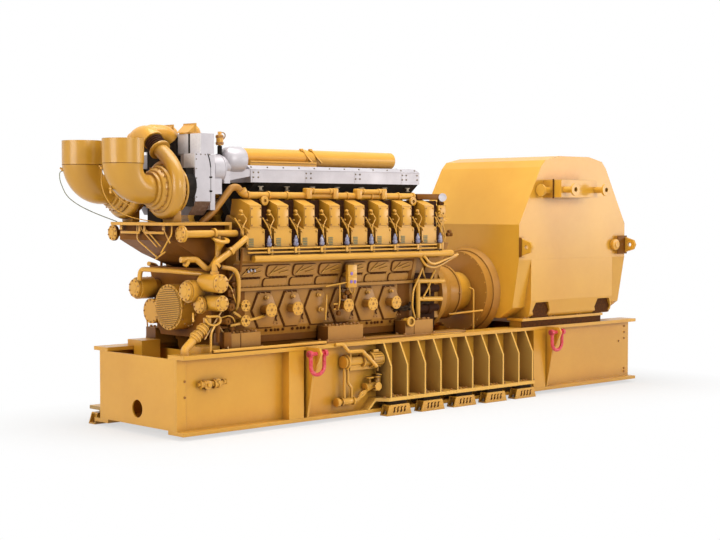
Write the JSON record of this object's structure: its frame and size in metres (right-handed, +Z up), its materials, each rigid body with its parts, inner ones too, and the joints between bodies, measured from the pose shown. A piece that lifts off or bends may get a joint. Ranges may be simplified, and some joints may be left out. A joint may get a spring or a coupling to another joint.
{
  "type": "diesel generator set",
  "caption": "V-form diesel engine with end turbochargers coupled to a generator on a long plate girder base with isolator feet.",
  "frame": {"origin": "on the floor at the middle of the isolator feet's anchor hole pattern, under the base's centre line", "axes": "+X along the shaft from the engine's free end to the generator, +Y towards the side without the pump set, +Z up"},
  "size_m": [10.0269, 2.915, 3.972],
  "materials": {
    "rail_near": "semi-gloss",
    "rail_far": "semi-gloss",
    "base_plates": "semi-gloss",
    "cross_members": "semi-gloss",
    "outrigger_near": "semi-gloss",
    "outrigger_far": "semi-gloss",
    "isolators": "semi-gloss",
    "lifting_shackles": "gloss",
    "prelube_pump": "semi-gloss",
    "base_piping": "semi-gloss",
    "crankcase": "semi-gloss",
    "crankcase_doors": "semi-gloss",
    "oil_sump": "semi-gloss",
    "engine_feet": "semi-gloss",
    "heads_near": "semi-gloss",
    "heads_far": "semi-gloss",
    "valve_covers_near": "semi-gloss",
    "valve_covers_far": "semi-gloss",
    "air_header_near": "semi-gloss",
    "air_header_far": "semi-gloss",
    "water_pipes": "semi-gloss",
    "fuel_rails": "semi-gloss",
    "exhaust_manifold": "matt",
    "exhaust_shield": "satin",
    "vent_tube": "semi-gloss",
    "turbine_shields": "satin",
    "turbine_lagging": "matt",
    "turbo_near": "semi-gloss",
    "turbo_far": "semi-gloss",
    "air_elbow_near": "semi-gloss",
    "air_elbow_far": "semi-gloss",
    "air_ducts": "semi-gloss",
    "turbo_bracket": "semi-gloss",
    "aftercooler": "semi-gloss",
    "front_housing": "semi-gloss",
    "damper_cover": "semi-gloss",
    "water_pumps": "semi-gloss",
    "front_pipes": "semi-gloss",
    "flywheel_housing": "semi-gloss",
    "coupling": "semi-gloss",
    "instruments": "semi-gloss",
    "generator_housing": "semi-gloss",
    "generator_feet": "semi-gloss",
    "drive_end_bell": "semi-gloss",
    "cooler_box": "semi-gloss"
  },
  "bodies": {
    "root": {"rail_near": "rail_near", "rail_far": "rail_far", "base_plates": "base_plates", "cross_members": "cross_members", "outrigger_near": "outrigger_near", "outrigger_far": "outrigger_far", "isolators": "isolators", "lifting_shackles": "lifting_shackles", "prelube_pump": "prelube_pump", "base_piping": "base_piping", "crankcase": "crankcase", "crankcase_doors": "crankcase_doors", "oil_sump": "oil_sump", "engine_feet": "engine_feet", "heads_near": "heads_near", "heads_far": "heads_far", "valve_covers_near": "valve_covers_near", "valve_covers_far": "valve_covers_far", "air_header_near": "air_header_near", "air_header_far": "air_header_far", "water_pipes": "water_pipes", "fuel_rails": "fuel_rails", "exhaust_manifold": "exhaust_manifold", "exhaust_shield": "exhaust_shield", "vent_tube": "vent_tube", "turbine_shields": "turbine_shields", "turbine_lagging": "turbine_lagging", "turbo_near": "turbo_near", "turbo_far": "turbo_far", "air_elbow_near": "air_elbow_near", "air_elbow_far": "air_elbow_far", "air_ducts": "air_ducts", "turbo_bracket": "turbo_bracket", "aftercooler": "aftercooler", "front_housing": "front_housing", "damper_cover": "damper_cover", "water_pumps": "water_pumps", "front_pipes": "front_pipes", "flywheel_housing": "flywheel_housing", "coupling": "coupling", "instruments": "instruments", "generator_housing": "generator_housing", "generator_feet": "generator_feet", "drive_end_bell": "drive_end_bell", "cooler_box": "cooler_box"}
  },
  "joints": []
}
